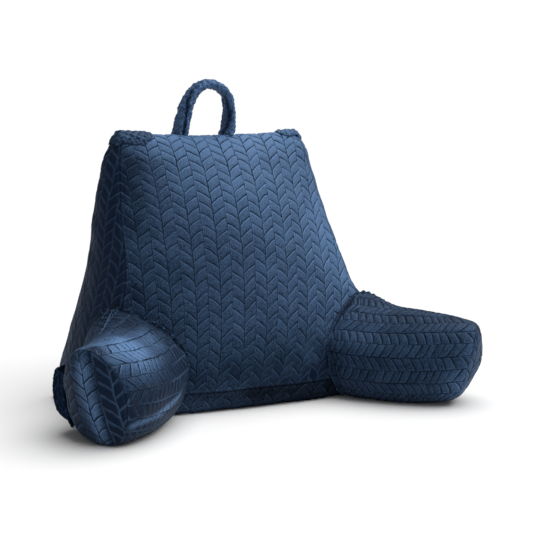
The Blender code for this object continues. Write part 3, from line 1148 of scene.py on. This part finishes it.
STRAP_PILE = [(0.0011, 0.010, 5), (0.0004, 0.0045, 6)]  # depth, wavelength and seed


def strap_groove(unit):
    """How far each corner lies round the strap from the groove, and how deep the groove is."""
    s = (unit[:, 2] + 1) / 2
    facing = np.where(s < STRAP_TOP, unit[:, 0], -unit[:, 0])
    turn = np.degrees(np.arctan2(facing, -unit[:, 1]))
    return turn - curve(GROOVE_ROWS, s, "turn"), np.clip(curve(GROOVE_ROWS, s, "share"), 0, 1)


def handle_place(unit):
    aside, share = strap_groove(unit)
    a, b, c = unit.T.copy()
    s = (c + 1) / 2
    a, b = round_pair(a, b, HANDLE_ROUND)
    drawn_in = 1 - GROOVE_DEPTH * share * np.exp(-((aside / GROOVE_WIDTH) ** 2))
    x, z, thick, wide = (curve(HANDLE_ROWS, s, key) for key in ("x", "z", "thick", "wide"))
    run = heading(HANDLE_ROWS, s, ("x", "z"), STRAP_STEP)
    reach = a * drawn_in * thick / 2
    x = HANDLE_MIDDLE[0] + x - run[:, 1] * reach
    y = HANDLE_MIDDLE[1] + b * drawn_in * wide / 2
    z = HANDLE_MIDDLE[2] + z + run[:, 0] * reach
    return np.stack([x, y, z], axis=1)


def wrap_cloth(block, scale=1.0):
    """Cloth lengths for a strap or a pad: round its section, and along it."""
    for name in BLOCK_SIDES:
        sheet = block.sheet(name)
        first, second = middle_lengths(sheet, 0), middle_lengths(sheet, 1)
        if name.startswith("a"):
            first, second = second, first
        block.cloth[name] = (first * scale, second * scale)


def roughen(block, depth, wavelength, seed):
    """Uneven pile and small dents, along the normals."""
    uneven = depth * waves(block.points, wavelength, seed)
    block.points = block.points + block.normals() * uneven[:, None]
    block.write()


handle = Block("plush_handle", HANDLE_CUTS)
strap_unit = start_at_back(handle, handle_place, both=True)
handle.points = handle_place(strap_unit)
aside, share = strap_groove(strap_unit)
# painted shade in the strap's groove and a painted highlight on the lip beside it
handle.shade -= GROOVE_SHADE * share * np.exp(-((aside / GROOVE_WIDTH) ** 2))
handle.shade += LIP_HIGHLIGHT * share * np.exp(-(((aside + GROOVE_LIP) / LIP_WIDTH) ** 2))
handle.face_out()
wrap_cloth(handle)
for row in STRAP_PILE:
    roughen(handle, *row)
finish_piece(handle, ["plush_strap"], "strap", "handle", fill=0.7)

# %% [markdown]
# ## The lapped corners
# At both top corners the cover is folded over on itself. Each lap is a thin pad that is laid on the
# cushion: every corner of its block looks for the nearest place on the cushion's face.

# %% Corner laps
# pale adds painted light to a whole lap: the right lap is painted paler
WRAPS = table(  # front and rear: how many degrees each lap reaches down round the top edge
    "name x y z wide front rear pale",
    ("left", -0.158, 0.150, 0.482, 0.037, 58, 66, 0.05),
    ("right", 0.168, 0.150, 0.486, 0.028, 38, 60, 0.80),
)
WRAP_CUTS = (64, 84, 5)
WRAP_THICK = 0.0042
WRAP_RADIUS = 0.060
WRAP_BLUNT = 2.0
LAP_TURN = 0.45  # where the lap starts to go round the corner
LAP_ROUND = 0.020
LAP_DROP = 0.030
LAP_FORWARD = 0.004
LAP_LOWER = 0.030
LAP_SHORTEST = 0.30  # a lap's sides reach this share of its middle's length
LAP_RIM = 0.12  # and its rim has this share of its thickness
LAP_FLATNESS = 6
LAP_BRAID = 2.2  # the braid is this much finer on the laps
LAP_PILE = (0.0009, 0.008, 11)


def lap_place(unit, row):
    a, b, c = unit.T
    taper = np.maximum(0.0, 1 - np.abs(a) ** WRAP_BLUNT) ** (1 / WRAP_BLUNT)
    turn = b * np.radians(np.where(b < 0, row["front"], row["rear"]))
    turn = turn * (LAP_SHORTEST + (1 - LAP_SHORTEST) * taper)
    corner = np.maximum(0.0, a * math.copysign(1, row["x"]) - LAP_TURN) / (1 - LAP_TURN)
    x = row["x"] + row["wide"] * a + math.copysign(LAP_ROUND, row["x"]) * corner
    y = row["y"] - LAP_FORWARD + WRAP_RADIUS * np.sin(turn)
    z = row["z"] - LAP_LOWER + WRAP_RADIUS * np.cos(turn) - LAP_DROP * corner**2
    over_a, over_b = (np.maximum(0.0, 1 - np.abs(p) ** LAP_FLATNESS) ** 0.5 for p in (a, b))
    full = LAP_RIM + (1 - LAP_RIM) * (over_a * over_b)
    lift = ROOT_GAP + full * WRAP_THICK * (c + 1) / 2
    places = np.empty((len(a), 3))
    for i in range(len(a)):
        guide = Vector((x[i], y[i], z[i]))
        hit = BACK_FACE.find_nearest(guide)[0]
        places[i] = hit + (guide - hit).normalized() * lift[i]
    return places


for row in WRAPS:
    lap = Block("plush_lap_" + row["name"], WRAP_CUTS)
    lap.points = lap_place(lap.unit, row)
    lap.face_out()
    wrap_cloth(lap, LAP_BRAID)
    # painted light on the lap
    lap.shade += row["pale"]
    roughen(lap, *LAP_PILE)
    solid = "corner_wrap_" + row["name"]
    finish_piece(lap, ["plush_cover"], "cover", solid, fill=0.6, nap="lap")

# %% [markdown]
# ## The pocket
# One sheet of plush on the left arm's outer side, held at its sides and foot and standing off the
# arm at its open top. Its dark plush is painted shade.

# %% Pocket
POCKET_SPAN = (0.50, 0.92)
POCKET_HEIGHTS = (0.026, 0.110)
POCKET_GAP = 0.0018
POCKET_THICK = 0.004
POCKET_STAND = 0.019
POCKET_SAG = 0.001
POCKET_FULLNESS = 14
POCKET_REACH = 0.30
POCKET_CUTS = (80, 70, 2)
POCKET_PILE = (0.0004, 0.007, 13)
ARM_GUIDE_CUTS = (24, 24, 40)


def pocket_place(unit, arm_face):
    a, b, c = unit.T
    s = POCKET_SPAN[0] + (POCKET_SPAN[1] - POCKET_SPAN[0]) * (a + 1) / 2
    run = heading(ARM_ROWS, s, ("x", "y"), ARM_STEP)
    outward = np.stack([run[:, 1], run[:, 0], np.zeros(len(a))], axis=1)
    middle = np.stack([-curve(ARM_ROWS, s, "x"), curve(ARM_ROWS, s, "y"), np.zeros(len(a))], axis=1)
    middle[:, 2] = POCKET_HEIGHTS[0] + (POCKET_HEIGHTS[1] - POCKET_HEIGHTS[0]) * (b + 1) / 2
    down = (1 - b) / 2
    stand = (POCKET_STAND + POCKET_SAG * down) * (1 - a * a) * (1 - down**POCKET_FULLNESS)
    stand = POCKET_GAP + stand + POCKET_THICK * (c + 1) / 2
    places = np.empty((len(a), 3))
    for i in range(len(a)):
        way = Vector(outward[i])
        laid = arm_face.ray_cast(Vector(middle[i]) + way * POCKET_REACH, -way)[0]
        places[i] = laid + way * stand[i]
    return places


sheet = Block("plush_pocket", POCKET_CUTS)
arm_face = smooth_face(ARM_GUIDE_CUTS, lambda unit: arm_place(unit, -1))
sheet.points = pocket_place(sheet.unit, arm_face)
sheet.face_out()
wrap_cloth(sheet)
outer = sheet.sheet("c_high")
flat_size = (lengths(outer, 0)[-1].mean(), lengths(outer, 1)[:, -1].mean())
print("pocket cut to", [round(float(x), 4) for x in flat_size])
roughen(sheet, *POCKET_PILE)
plush_pocket = finish_piece(sheet, ["plush_pocket"], "pocket", "pocket", fill=None, nap="pocket")

# %% Updating the scene
bpy.context.view_layer.update()
